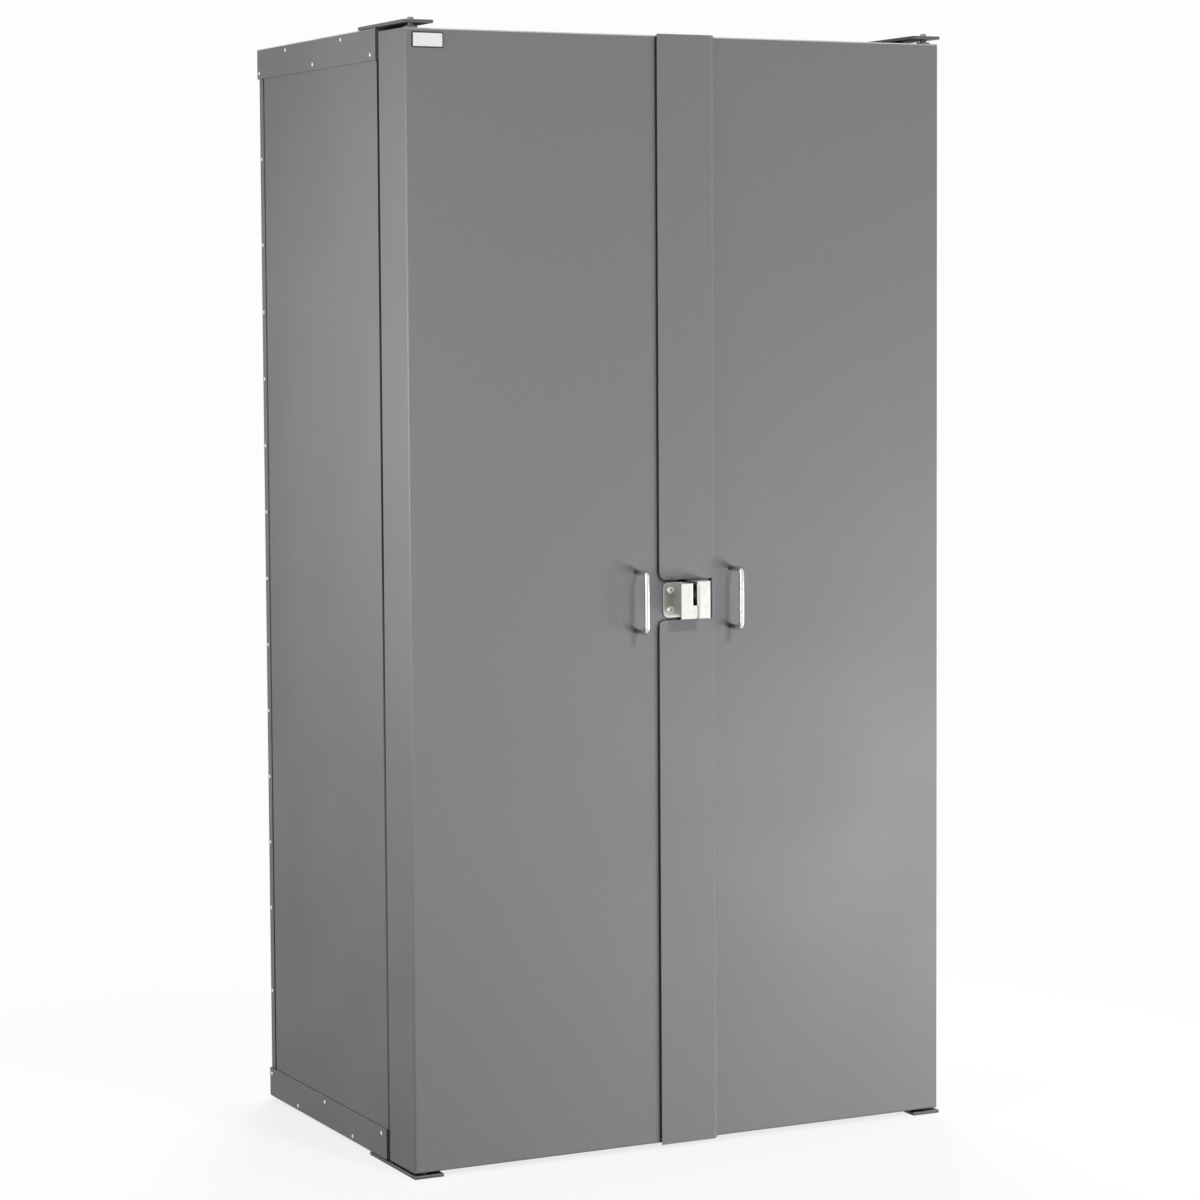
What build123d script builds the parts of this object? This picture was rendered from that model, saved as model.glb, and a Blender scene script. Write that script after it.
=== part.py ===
from build123d import *
import math
import os

# A free-standing steel tool cabinet with two deep pan doors, in millimetres.
# X runs to the right, Y from the doors to the back, and Z up. The origin lies on the
# floor, under the middle of the cabinet's outer box.

# Overall sizes.
width = 972.0              # over the side panels, and over the pair of doors
depth = 635.0              # from the door fronts to the back of the caps
height = 1829.0            # from the floor to the top of the upper hinge plates
door_depth = 104.0         # each door is a pan this deep
door_to_cap = 9.5          # gap between a closed door and the caps
door_to_jamb = 4.5         # gap between a closed door and the side panels' jambs
split_gap = 20.0           # gap between the two doors, which lets their deep edges pass
latch_height = 904.0       # from the floor to the middle of the pulls and the hasp

# Sheet and plate.
skin_gauge = 1.5           # door pans and astragal
cap_gauge = 1.5            # top and bottom caps
panel_gauge = 1.2          # side panels, back, shelves, liners and stiffeners
plate_gauge = 5.0          # hinge plates and rear feet
sheet_bend = 2.4           # bend radius on the middle of a thin sheet
pan_bend = 3.5             # outside radius of a pressed pan
sheet_gap = 1.5            # free edge of a sheet to the bend of the next one
lap_gap = 0.4              # between sheets that lap
fit_gap = 0.05             # radial clearance of a pin, bolt or bush in its hole
turned_flats = 16          # flats drawn round a bush, screw or bolt and round its hole

# Caps, side panels and back.
cap_flange = 51.0
jamb_width = 38.0
jamb_return = 18.0
rear_flange = 20.0
back_flange = 19.0
seam_groove = 3.0          # back flange's edge to the step in the side panel
seam_step = 4.0            # length of that step
sheet_end_gap = 3.0        # end of a side or back sheet to the bend of the cap

# Rivets, all one size.
rivet_width = 6.6
rivet_head = 1.3
rivet_side_count = 6       # flats round a rivet head
rivet_edge = 9.5           # from a sheet's edge to the middle of a rivet
seam_pitch = 115.0         # regular pitch of the rivets up the back seams
seam_regular = 10          # how many regular pitches there are
cap_rivets = 5             # rivets in each side flange of a cap
rear_rivets = 7            # rivets in the rear flange of a cap
front_rivet_inset = 21.0   # from the cap's front to its first rivet

# Hinges.
pin_inset = 18.0           # pin axis from the door's outer side and from its front
pin_width = 10.0
pin_proud = 5.0            # pin end above the upper plate
pin_reach = 20.0           # pin end inside the door
pin_chamfer = 0.8
hinge_width = 50.0
hinge_length = 185.0
hinge_overhang = 2.0       # plate beyond the door's side and front
top_gap = 7.6              # upper plate to door top
flange_width = 22.0        # bush flange
flange_height = 3.2
bush_width = 14.0
bush_length = 13.5
running_gap = 0.3          # bush flange above the lower plate
doubler_gauge = 4.0        # plate inside the door that carries the bush
doubler_width = 40.0
doubler_depth = 60.0

# Door pans, stiffeners and louvred liners.
door_lip = 12.0
hat_depth = 26.0
hat_crown = 32.0
hat_foot = 14.0
hat_end = 70.0             # end of a stiffener to the door's end
hat_inset = 120.0          # middle of a stiffener to the door's side
liner_gap = 2.0
louvre_width = 92.0
louvre_window = 14.0
louvre_rise = 11.0
louvre_out = 9.0
louvre_column_pitch = 130.0
louvre_row_pitch = 120.0
liner_rivets = 6           # rivets up each stiffener

# Pulls, bent from round bar.
pull_offset = 87.0         # pull from the middle of the cabinet
pull_centres = 96.0
pull_bar = 8.5
pull_reach = 42.0
pull_bend = 12.0
pull_side_count = 12       # flats round the bar
pull_bend_flats = 4        # flats along each bend
screw_width = 3.8          # over the thread
screw_bite = 14.0          # depth of the hole in a pull's end
screw_end_gap = 1.0        # screw end to the bottom of that hole
screw_head_width = 9.0
screw_head_height = 3.0

# Astragal, the cover strip on the right door.
strip_lap = 48.0           # over the left door
strip_land = 50.0          # flat part over the right door
strip_slope = 8.0
strip_proud = 6.3
strip_overrun = 2.0        # beyond the door's top and bottom
notch_height = 66.0
notch_radius = 12.0
notch_land = 48.0          # notch reaches this far over the right door
bar_width = 25.0
bar_inset = 2.0            # bar from the door's edge
bar_end = 10.0

# Hasp.
hasp_gauge = 3.0
hasp_height = 57.6
hasp_base = 39.0           # base plate reaches this far from the middle
hasp_front = 26.5          # front plate reaches this far from the middle
hasp_slot = 6.4
hasp_reach = 42.0
hasp_bend = 3.0
hasp_corner = 8.0
tongue_gap = 0.6
tongue_height = 21.5
shackle_hole = 11.0
shackle_rise = 9.0         # hole above the middle of the hasp
bolt_offset = 26.5
bolt_pitch = 32.6
bolt_width = 8.0
bolt_head_width = 13.0
bolt_head_height = 4.4
bolt_crown = 3.3           # height of the sloping crown of a bolt's head
bolt_proud = 1.0           # bolt end beyond its nut
nut_flats = 13.0
nut_height = 6.5

# Shelves, slotted standards and clips.
shelf_count = 4
shelf_lip = 30.0
shelf_hem = 12.0
shelf_front_gap = 30.0     # shelf edge to the carcass front
shelf_back_gap = 24.0
standard_width = 22.0
standard_depth = 12.0
standard_inset = 60.0      # standard from the carcass front and back
standard_end = 20.0
slot_pitch = 100.0
slot_width = 5.0
slot_height = 24.0
clip_gauge = 1.5
clip_width = 16.0
clip_height = 28.0
clip_ledge = 14.0
tongue_width = 4.0
tongue_depth = 4.0
shelf_end_gap = 2.0

# Rear feet, as thick as the lower hinge plates so that the cabinet stands level.
foot_width = 60.0
foot_length = 100.0
foot_inset = 48.0

# Places that follow from the sizes.
half = width / 2
front = (max(hasp_reach, pull_reach) - depth - rivet_head) / 2
back = front + depth
cap_front = front + door_depth + door_to_cap
jamb_front = front + door_depth + door_to_jamb
body_bottom = plate_gauge
body_top = height - plate_gauge
body_middle = (body_bottom + body_top) / 2
door_edge = split_gap / 2
door_bottom = plate_gauge + running_gap + flange_height
door_top = body_top - top_gap
skin_inside = front + skin_gauge
pin_x = half - pin_inset
pin_y = front + pin_inset
back_inside = back - cap_gauge - lap_gap - panel_gauge
cap_side = half + lap_gap + cap_gauge
liner_front = skin_inside + hat_depth
standard_face = half - panel_gauge - standard_depth


def block(x0, x1, y0, y1, z0, z1):
    """A square-cornered box between two values on each axis."""
    middle = Pos((x0 + x1) / 2, (y0 + y1) / 2, (z0 + z1) / 2)
    return middle * Box(x1 - x0, y1 - y0, z1 - z0)


def rod_x(x0, x1, y, z, diameter):
    """A round bar along X."""
    return extrude(Plane((x0, y, z), z_dir=(1, 0, 0)) * Circle(diameter / 2), x1 - x0)


def rod_z(z0, z1, x, y, diameter):
    """A round bar along Z."""
    return extrude(Pos(x, y, z0) * Circle(diameter / 2), z1 - z0)


def turned(place, direction, width, length):
    """A turned bar drawn with a few flats round it, or the hole that it fits."""
    return extrude(Plane(place, z_dir=direction) * RegularPolygon(width / 2, turned_flats), length)


def bend_points(points, radius):
    """The points of a bent line, with each corner cut into two flats along its bend."""
    line = [Vector(*points[0])]
    for before, corner, after in zip(points, points[1:], points[2:]):
        middle = Vector(*corner)
        into = (Vector(*before) - middle).normalized()
        away = (Vector(*after) - middle).normalized()
        half_angle = math.radians(into.get_angle(away)) / 2
        reach = radius / math.tan(half_angle)
        inset = radius / math.sin(half_angle) - radius
        line += [middle + into * reach, middle + (into + away).normalized() * inset,
                 middle + away * reach]
    line.append(Vector(*points[-1]))
    return line


def bent_sheet(points, gauge, radius):
    """The cross-section of a sheet bent along its middle line, with mitred flats at bends."""
    line = bend_points(points, radius)
    normals = [(after - before).normalized().rotate(Axis.Z, 90)
               for before, after in zip(line, line[1:])]
    sides = [(first + second) / (1 + first.dot(second))
             for first, second in zip(normals[:1] + normals, normals + normals[-1:])]
    upper = [point + side * (gauge / 2) for point, side in zip(line, sides)]
    lower = [point - side * (gauge / 2) for point, side in zip(line, sides)]
    return make_face(Polyline(*upper, *reversed(lower), close=True))


def upright(profile, z0, z1):
    """A plan profile carried up from one height to another."""
    return extrude(Pos(0, 0, z0) * profile, z1 - z0)


def left_hand(shape):
    """The same shape for the left of the cabinet."""
    return mirror(shape, about=Plane.YZ)


def lower_hand(shape):
    """The same shape turned over, top to bottom, about the carcass's middle."""
    return mirror(shape, about=Plane.XY.offset(body_middle))


def rivet(place, direction):
    """A domed rivet head seated on a sheet, drawn with a few flats."""
    base = RegularPolygon(rivet_width / 2, rivet_side_count)
    top = Pos(0, 0, rivet_head) * RegularPolygon(rivet_width / 4, rivet_side_count)
    return Plane(place, z_dir=direction) * loft([base, top], ruled=True)


def spread(first, last, count):
    """Evenly spaced values from the first to the last."""
    return [first + (last - first) * index / (count - 1) for index in range(count)]


# Carcass.

def make_cap():
    """The top cap: a shallow pan whose flanges lap over the sides and the back."""
    bottom = body_top - cap_flange
    outer = block(-cap_side, cap_side, cap_front, back, bottom, body_top)
    outer = fillet(outer.edges().group_by(Axis.Z)[-1], pan_bend)
    x = cap_side - cap_gauge
    inner = block(-x, x, cap_front + cap_gauge, back - cap_gauge, bottom, body_top - cap_gauge)
    inner = fillet(inner.edges().group_by(Axis.Z)[-1], pan_bend - cap_gauge)
    return outer - inner


def make_side_panel():
    """The right side panel, with a boxed jamb in front and a stepped edge for the back."""
    c = panel_gauge / 2
    x = half - c
    x_lap = x - panel_gauge - lap_gap
    y_back = back_inside - c
    y_step = back_inside + panel_gauge - back_flange - seam_groove
    y_front = jamb_front + c
    points = [
        (x_lap - rear_flange, y_back),
        (x_lap, y_back),
        (x_lap, y_step),
        (x, y_step - seam_step),
        (x, y_front),
        (x - jamb_width, y_front),
        (x - jamb_width, y_front + jamb_return),
    ]
    edge = cap_gauge + pan_bend + sheet_end_gap
    panel = upright(bent_sheet(points, panel_gauge, sheet_bend), body_bottom + edge, body_top - edge)
    notch_z = body_top - cap_flange - sheet_gap
    behind_cap = cap_front + cap_gauge + lap_gap
    behind_jamb = jamb_front + jamb_return + sheet_bend
    edge_notch = block(0, half, jamb_front, behind_cap, notch_z, body_top)
    jamb_notch = block(0, half - panel_gauge - sheet_bend, jamb_front, behind_jamb, notch_z, body_top)
    notches = [edge_notch, jamb_notch, lower_hand(edge_notch), lower_hand(jamb_notch)]
    return panel - notches


def make_back_panel():
    """The back: one sheet with side flanges folded forward over the side panels."""
    x = half - panel_gauge / 2
    y = back_inside + panel_gauge / 2
    y_flange = back_inside + panel_gauge - back_flange
    points = [(-x, y_flange), (-x, y), (x, y), (x, y_flange)]
    edge = cap_gauge + pan_bend + sheet_end_gap
    return upright(bent_sheet(points, panel_gauge, sheet_bend), body_bottom + edge, body_top - edge)


def side_rivets():
    """The rivets on the right side: up the back seam and along both cap flanges."""
    outer = body_top - rivet_edge
    inner = body_top - cap_flange + rivet_edge
    places = spread(back - rivet_edge, cap_front + front_rivet_inset, cap_rivets)
    heads = []
    for index, y in enumerate(places):
        z = outer if index % 2 else inner
        heads.append(rivet((cap_side, y, z), (1, 0, 0)))
        heads.append(rivet((cap_side, y, 2 * body_middle - z), (1, 0, 0)))
    seam_y = back_inside + panel_gauge - back_flange + rivet_edge
    regular = seam_pitch * seam_regular / 2
    end_pitch = (inner - body_middle - regular) / 2
    heights = spread(-regular, regular, seam_regular + 1)
    heights += [regular + end_pitch, -regular - end_pitch]
    for z in heights:
        heads.append(rivet((half, seam_y, body_middle + z), (1, 0, 0)))
    return heads


def back_rivets():
    """The rivets in the rear flanges of both caps."""
    outer = body_top - rivet_edge
    inner = body_top - cap_flange + rivet_edge
    heads = []
    for index, x in enumerate(spread(-half + rear_flange, half - rear_flange, rear_rivets)):
        z = inner if index % 2 else outer
        heads.append(rivet((x, back, z), (0, 1, 0)))
        heads.append(rivet((x, back, 2 * body_middle - z), (0, 1, 0)))
    return heads


def make_standard(y):
    """A right-hand slotted upright, a channel with its legs against the side panel."""
    x = half - panel_gauge
    face = standard_face + clip_gauge / 2
    leg = standard_width / 2 - clip_gauge / 2
    points = [(x, y - leg), (face, y - leg), (face, y + leg), (x, y + leg)]
    z0 = body_bottom + cap_gauge + standard_end
    z1 = body_top - cap_gauge - standard_end
    channel = upright(bent_sheet(points, clip_gauge, sheet_bend), z0, z1)
    slots = []
    for z in slot_heights():
        slots.append(block(standard_face - clip_gauge, standard_face + 2 * clip_gauge,
                           y - slot_width / 2, y + slot_width / 2, z, z + slot_height))
    return channel - slots


def slot_heights():
    """The lower edge of each slot in a standard."""
    z0 = body_bottom + cap_gauge + standard_end + slot_pitch / 2
    z1 = body_top - cap_gauge - standard_end - slot_pitch / 2
    count = int((z1 - slot_height - z0) / slot_pitch) + 1
    return [z0 + slot_pitch * index for index in range(count)]


def shelf_heights():
    """The underside of each shelf, set by the slots its clips hang in."""
    slots = slot_heights()
    chosen = [slots[(index + 1) * len(slots) // (shelf_count + 1)] for index in range(shelf_count)]
    return [z + slot_height / 2 for z in chosen]


def standard_places():
    """Where the front and rear standards stand."""
    return (cap_front + standard_inset, back_inside - standard_inset)


def make_shelf(z):
    """A shelf: a sheet with its front and rear edges folded down and back in."""
    x = standard_face - shelf_end_gap
    y0 = cap_front + shelf_front_gap + panel_gauge / 2
    y1 = back_inside - shelf_back_gap - panel_gauge / 2
    top = z + panel_gauge / 2
    low = z + panel_gauge / 2 - shelf_lip
    points = [
        (y0 + shelf_hem, low),
        (y0, low),
        (y0, top),
        (y1, top),
        (y1, low),
        (y1 - shelf_hem, low),
    ]
    profile = bent_sheet(points, panel_gauge, sheet_bend)
    return extrude(Plane.YZ.offset(-x) * profile, 2 * x)


def make_clip(y, z):
    """A right-hand shelf clip: a ledge, a leg on the standard and a tongue in a slot."""
    x = standard_face
    near = y - clip_width / 2
    far = y + clip_width / 2
    leg = block(x - clip_gauge, x, near, far, z - clip_height, z)
    ledge = block(x - clip_ledge, x, near, far, z - clip_gauge, z)
    tongue_top = z - fit_gap
    tongue_low = z - slot_height / 2 + running_gap
    tongue = block(x - clip_gauge, x + tongue_depth, y - tongue_width / 2, y + tongue_width / 2,
                   tongue_low, tongue_top)
    return leg + ledge + tongue


def make_hinge_plate():
    """The upper right hinge plate, welded on the cap, with the hole for its pin."""
    x1 = half + hinge_overhang
    y0 = front - hinge_overhang
    plate = block(x1 - hinge_width, x1, y0, y0 + hinge_length, body_top, height)
    return plate - rod_z(body_top, height, pin_x, pin_y, pin_width + 2 * fit_gap)


def make_top_pin():
    """The upper right hinge pin, its visible end chamfered."""
    pin = rod_z(door_top - pin_reach, height + pin_proud, pin_x, pin_y, pin_width)
    return chamfer(pin.edges().filter_by(GeomType.CIRCLE).sort_by(Axis.Z)[-1], pin_chamfer)


def make_bottom_pin():
    """The lower right hinge pin, flush with the underside of its plate."""
    return rod_z(0, door_bottom + pin_reach, pin_x, pin_y, pin_width)


def make_foot():
    """The right rear foot, a pad under the bottom cap."""
    x1 = half - foot_inset
    y1 = back - foot_inset
    return block(x1 - foot_width, x1, y1 - foot_length, y1, 0, plate_gauge)


# Doors, drawn for the right-hand side.

def make_door():
    """The door pan: a skin with deep sides, lipped at the back, and its holes."""
    outer = block(door_edge, half, front, front + door_depth, door_bottom, door_top)
    outer = fillet(outer.edges().group_by(Axis.Y)[0], pan_bend)
    g = skin_gauge
    inner = block(door_edge + g, half - g, skin_inside, front + door_depth - g,
                  door_bottom + g, door_top - g)
    inner = fillet(inner.edges().group_by(Axis.Y)[0], pan_bend - g)
    lip = door_lip
    window = block(door_edge + lip, half - lip, front + door_depth / 2, front + door_depth,
                   door_bottom + lip, door_top - lip)
    bush = turned((pin_x, pin_y, door_bottom), (0, 0, 1), bush_width + 2 * fit_gap,
                  door_top - door_bottom)
    holes = [turned((bolt_offset, front, z), (0, 1, 0), bolt_width + 2 * fit_gap, skin_gauge)
             for z in bolt_heights()]
    holes += [turned((pull_offset, front, z), (0, 1, 0), screw_width + 2 * fit_gap, skin_gauge)
              for z in pull_heights()]
    return outer - [inner, window, bush] - holes


def bolt_heights():
    """Heights of the two bolts in each hasp bracket."""
    return (latch_height - bolt_pitch / 2, latch_height + bolt_pitch / 2)


def pull_heights():
    """Heights of the two ends of a pull."""
    return (latch_height - pull_centres / 2, latch_height + pull_centres / 2)


def make_doubler():
    """The plate inside the top right corner of a door that carries its bush."""
    x1 = half - skin_gauge
    z1 = door_top - skin_gauge
    y0 = skin_inside + pan_bend
    plate = block(x1 - doubler_width, x1, y0, y0 + doubler_depth, z1 - doubler_gauge, z1)
    return plate - turned((pin_x, pin_y, z1 - doubler_gauge), (0, 0, 1), bush_width + 2 * fit_gap,
                          doubler_gauge)


def make_bush():
    """The upper right bush: a sleeve in the door with a flange on the door's top."""
    sleeve = turned((pin_x, pin_y, door_top - bush_length), (0, 0, 1), bush_width, bush_length)
    flange = turned((pin_x, pin_y, door_top), (0, 0, 1), flange_width, flange_height)
    bore = rod_z(door_top - bush_length, door_top + flange_height, pin_x, pin_y,
                 pin_width + 2 * fit_gap)
    return sleeve + flange - bore


def turned_over(shape):
    """The same shape at the other end of the door."""
    return mirror(shape, about=Plane.XY.offset((door_bottom + door_top) / 2))


def stiffener_places():
    """The middles of the two stiffeners in a door."""
    return (door_edge + hat_inset, half - hat_inset)


def make_stiffener(x):
    """An upright hat-section stiffener on the inside of the skin."""
    c = panel_gauge / 2
    low = skin_inside + c
    high = liner_front - c
    crown = hat_crown / 2 - c
    points = [
        (x - crown - hat_foot, low),
        (x - crown, low),
        (x - crown, high),
        (x + crown, high),
        (x + crown, low),
        (x + crown + hat_foot, low),
    ]
    profile = bent_sheet(points, panel_gauge, sheet_bend)
    return upright(profile, door_bottom + hat_end, door_top - hat_end)


def louvre_grid():
    """The lower middle point of each louvre in a liner."""
    x0 = door_edge + door_lip + liner_gap
    x1 = half - door_lip - liner_gap
    z0 = door_bottom + door_lip + liner_gap
    z1 = door_top - door_lip - liner_gap
    columns = int((x1 - x0 - louvre_width) / louvre_column_pitch) + 1
    rows = int((z1 - z0 - louvre_row_pitch) / louvre_row_pitch) + 1
    first_x = (x0 + x1 - louvre_column_pitch * (columns - 1)) / 2
    first_z = (z0 + z1 - louvre_row_pitch * (rows - 1)) / 2
    return [(first_x + louvre_column_pitch * column, first_z + louvre_row_pitch * row)
            for column in range(columns) for row in range(rows)]


def make_liner():
    """The louvred liner: a sheet with rows of windows, each with its lip pressed out."""
    y0 = liner_front
    y1 = liner_front + panel_gauge
    edge = door_lip + liner_gap
    sheet = block(door_edge + edge, half - edge, y0, y1, door_bottom + edge, door_top - edge)
    lip = Polyline(
        (y0, 0), (y1, 0), (y1 + louvre_out, louvre_rise), (y0 + louvre_out, louvre_rise), close=True
    )
    lip_face = make_face(lip)
    windows = []
    lips = []
    for x, z in louvre_grid():
        start = x - louvre_width / 2
        windows.append(block(start, start + louvre_width, y0, y1, z, z + louvre_window))
        lips.append(extrude(Plane((start, 0, z), x_dir=(0, 1, 0), z_dir=(1, 0, 0)) * lip_face,
                            louvre_width))
    return (sheet - windows) + lips


def liner_rivet_heads():
    """The rivets that hold a liner on its two stiffeners."""
    z0 = door_bottom + hat_end + 2 * hat_foot
    z1 = door_top - hat_end - 2 * hat_foot
    face = liner_front + panel_gauge
    return [rivet((x, face, z), (0, 1, 0))
            for x in stiffener_places() for z in spread(z0, z1, liner_rivets)]


def make_pull():
    """A pull bent from round bar, its ends drilled for the screws."""
    low, high = pull_heights()
    reach = front - pull_reach + pull_bar / 2
    points = [(pull_offset, front, low)]
    for step in range(pull_bend_flats + 1):
        turn = math.radians(90 * step / pull_bend_flats)
        points.append((pull_offset, reach + pull_bend * (1 - math.sin(turn)),
                       low + pull_bend * (1 - math.cos(turn))))
    points += [(x, y, low + high - z) for x, y, z in reversed(points)]
    section = RegularPolygon(pull_bar / 2, pull_side_count)
    bar = sweep(Plane((pull_offset, front, low), z_dir=(0, -1, 0)) * section,
                path=Polyline(*points), transition=Transition.RIGHT)
    drill = screw_width + 2 * fit_gap
    return bar - [turned((pull_offset, front - screw_bite, z), (0, 1, 0), drill, screw_bite)
                  for z in pull_heights()]


def make_pull_screw(z):
    """A screw from inside the skin into the end of a pull."""
    end = front - screw_bite + screw_end_gap
    shank = turned((pull_offset, end, z), (0, 1, 0), screw_width, skin_inside - end)
    head = turned((pull_offset, skin_inside, z), (0, 1, 0), screw_head_width, screw_head_height)
    return shank + head


def make_astragal():
    """The cover strip: proud of both doors, sloped back to the right door's skin."""
    face = front - strip_proud
    rear = face + skin_gauge
    toe = strip_land + strip_slope
    slant = math.hypot(strip_slope, strip_proud)
    heel = toe - skin_gauge * slant / strip_proud
    knee = heel - (strip_proud - skin_gauge) * strip_slope / strip_proud
    outline = Polyline(
        (-strip_lap, face), (strip_land, face), (toe, front),
        (heel, front), (knee, rear), (-strip_lap, rear), close=True,
    )
    z0 = door_bottom - strip_overrun
    z1 = door_top + strip_overrun
    strip = upright(make_face(outline), z0, z1)
    notch = Pos((notch_land - strip_lap) / 2, latch_height) * Rectangle(
        notch_land + strip_lap, notch_height)
    front_view = Pos((toe - strip_lap) / 2, (z0 + z1) / 2) * Rectangle(toe + strip_lap, z1 - z0) - notch
    mouth = front_view.vertices().group_by(Axis.X)[0].sort_by(Axis.Y)[1:-1]
    front_view = fillet(mouth, notch_radius)
    return strip & extrude(Plane.XZ.offset(-back) * front_view, 2 * depth)


def make_astragal_bars():
    """The flat bars above and below the notch that hold the astragal off the skin."""
    x0 = door_edge + pan_bend + bar_inset
    x1 = x0 + bar_width
    y0 = front - strip_proud + skin_gauge
    reach = notch_height / 2 + bar_end
    upper = block(x0, x1, y0, front, latch_height + reach, door_top - bar_end)
    lower = block(x0, x1, y0, front, door_bottom + bar_end, latch_height - reach)
    return [upper, lower]


def hasp_profile():
    """Plan of the right hasp bracket: base plate, wall and front plate."""
    c = hasp_gauge / 2
    wall = hasp_slot / 2 + c
    points = [
        (hasp_base, front - c),
        (wall, front - c),
        (wall, front - hasp_reach + c),
        (hasp_front, front - hasp_reach + c),
    ]
    return trace(FilletPolyline(*points, radius=hasp_bend), line_width=hasp_gauge)


def make_hasp():
    """The right hasp bracket, with its bolt holes and the hole for the shackle."""
    z0 = latch_height - hasp_height / 2
    z1 = latch_height + hasp_height / 2
    bracket = upright(hasp_profile(), z0, z1)
    bracket = fillet(bracket.edges().filter_by(Axis.Y).group_by(Axis.X)[-1], hasp_corner)
    holes = [turned((bolt_offset, front - hasp_gauge, z), (0, 1, 0), bolt_width + 2 * fit_gap,
                    hasp_gauge) for z in bolt_heights()]
    shackle = rod_x(0, hasp_slot + hasp_gauge, front - hasp_reach / 2, latch_height + shackle_rise,
                    shackle_hole)
    return bracket - holes - shackle


def make_hasp_tongue():
    """The left bracket's tongue, which closes the lower half of the slot."""
    z0 = latch_height - hasp_height / 2
    x0 = -hasp_slot / 2 - 2 * hasp_gauge
    x1 = hasp_slot / 2 - tongue_gap
    y0 = front - hasp_reach
    tongue = block(x0, x1, y0, y0 + hasp_gauge, z0, z0 + tongue_height)
    corner = tongue.edges().filter_by(Axis.Y).group_by(Axis.X)[-1].sort_by(Axis.Z)[0]
    return fillet(corner, hasp_bend)


def make_hasp_roof():
    """The right bracket's top plate, which covers the lock from above."""
    x0 = hasp_slot / 2
    plan = Polyline(
        (x0, front), (hasp_base, front), (hasp_front, front - hasp_reach),
        (x0, front - hasp_reach), close=True,
    )
    top = latch_height + hasp_height / 2
    return upright(make_face(plan), top, top + hasp_gauge)


def make_bolt(z):
    """A button-headed bolt through a hasp bracket and the skin."""
    seat = front - hasp_gauge
    place = (bolt_offset, seat, z)
    shank = turned(place, (0, 1, 0), bolt_width, skin_inside + nut_height + bolt_proud - seat)
    head = turned(place, (0, -1, 0), bolt_head_width, bolt_head_height)
    rim = head.edges().group_by(Axis.Y)[0]
    return shank + chamfer(rim, bolt_crown, bolt_head_width / 4)


def make_nut(z):
    """The nut on a hasp bolt, against the inside of the skin."""
    plane = Plane((bolt_offset, skin_inside, z), z_dir=(0, 1, 0))
    nut = extrude(plane * RegularPolygon(nut_flats / 2, 6, major_radius=False), nut_height)
    return nut - turned((bolt_offset, skin_inside, z), (0, 1, 0), bolt_width + 2 * fit_gap,
                        nut_height)


def door_pieces(side):
    """Every piece of one door, by name; the right door is drawn and the left mirrored."""
    doubler = make_doubler()
    bush = make_bush()
    pieces = {
        "door_pan": [make_door()],
        "door_doubler_top": [doubler],
        "door_doubler_bottom": [turned_over(doubler)],
        "hinge_bush_top": [bush],
        "hinge_bush_bottom": [turned_over(bush)],
        "door_stiffeners": [make_stiffener(x) for x in stiffener_places()],
        "louvred_liner": [make_liner()],
        "liner_rivets": liner_rivet_heads(),
        "door_pull": [make_pull()],
        "pull_screws": [make_pull_screw(z) for z in pull_heights()],
        "hasp_bolts": [make_bolt(z) for z in bolt_heights()],
        "hasp_nuts": [make_nut(z) for z in bolt_heights()],
    }
    hasp = make_hasp()
    if side == "right":
        pieces["hasp_bracket"] = [hasp + make_hasp_roof()]
    else:
        pieces["hasp_bracket"] = [hasp + left_hand(make_hasp_tongue())]
    return pieces


def handed_name(name, side):
    """A piece's name with its side, such as door_pan_left."""
    return name + "_" + side


def carcass_pieces():
    """Every piece of the carcass, by name."""
    cap = make_cap()
    pieces = {
        "top_cap": [cap],
        "bottom_cap": [lower_hand(cap)],
        "back_panel": [make_back_panel()],
        "rivets_back": back_rivets(),
        "rear_feet": [make_foot(), left_hand(make_foot())],
    }
    plate = make_hinge_plate()
    handed = {
        "side_panel": [make_side_panel()],
        "rivets_side": side_rivets(),
        "hinge_plate_top": [plate],
        "hinge_plate_bottom": [lower_hand(plate)],
        "hinge_pin_top": [make_top_pin()],
        "hinge_pin_bottom": [make_bottom_pin()],
    }
    for name, y in zip(("shelf_standard_front", "shelf_standard_rear"), standard_places()):
        handed[name] = [make_standard(y)]
    for name, shapes in handed.items():
        pieces[handed_name(name, "right")] = shapes
        pieces[handed_name(name, "left")] = [left_hand(shape) for shape in shapes]
    clips = []
    for number, z in enumerate(shelf_heights(), start=1):
        pieces["shelf_" + str(number)] = [make_shelf(z)]
        clips += [make_clip(y, z) for y in standard_places()]
    pieces["shelf_clips"] = clips + [left_hand(clip) for clip in clips]
    return pieces


def all_pieces():
    """Every piece of the cabinet, by name."""
    pieces = carcass_pieces()
    for name, shapes in door_pieces("right").items():
        pieces[handed_name(name, "right")] = shapes
    for name, shapes in door_pieces("left").items():
        pieces[handed_name(name, "left")] = [left_hand(shape) for shape in shapes]
    pieces["astragal"] = [make_astragal()]
    pieces["astragal_bars"] = make_astragal_bars()
    return pieces


os.makedirs("parts", exist_ok=True)
for name, shapes in all_pieces().items():
    solids = [solid for shape in shapes for solid in shape.solids()]
    node = solids[0] if len(solids) == 1 else Compound(children=solids)
    node.label = name
    export_step(node, os.path.join("parts", name + ".step"))
    print(name, len(solids))
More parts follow.
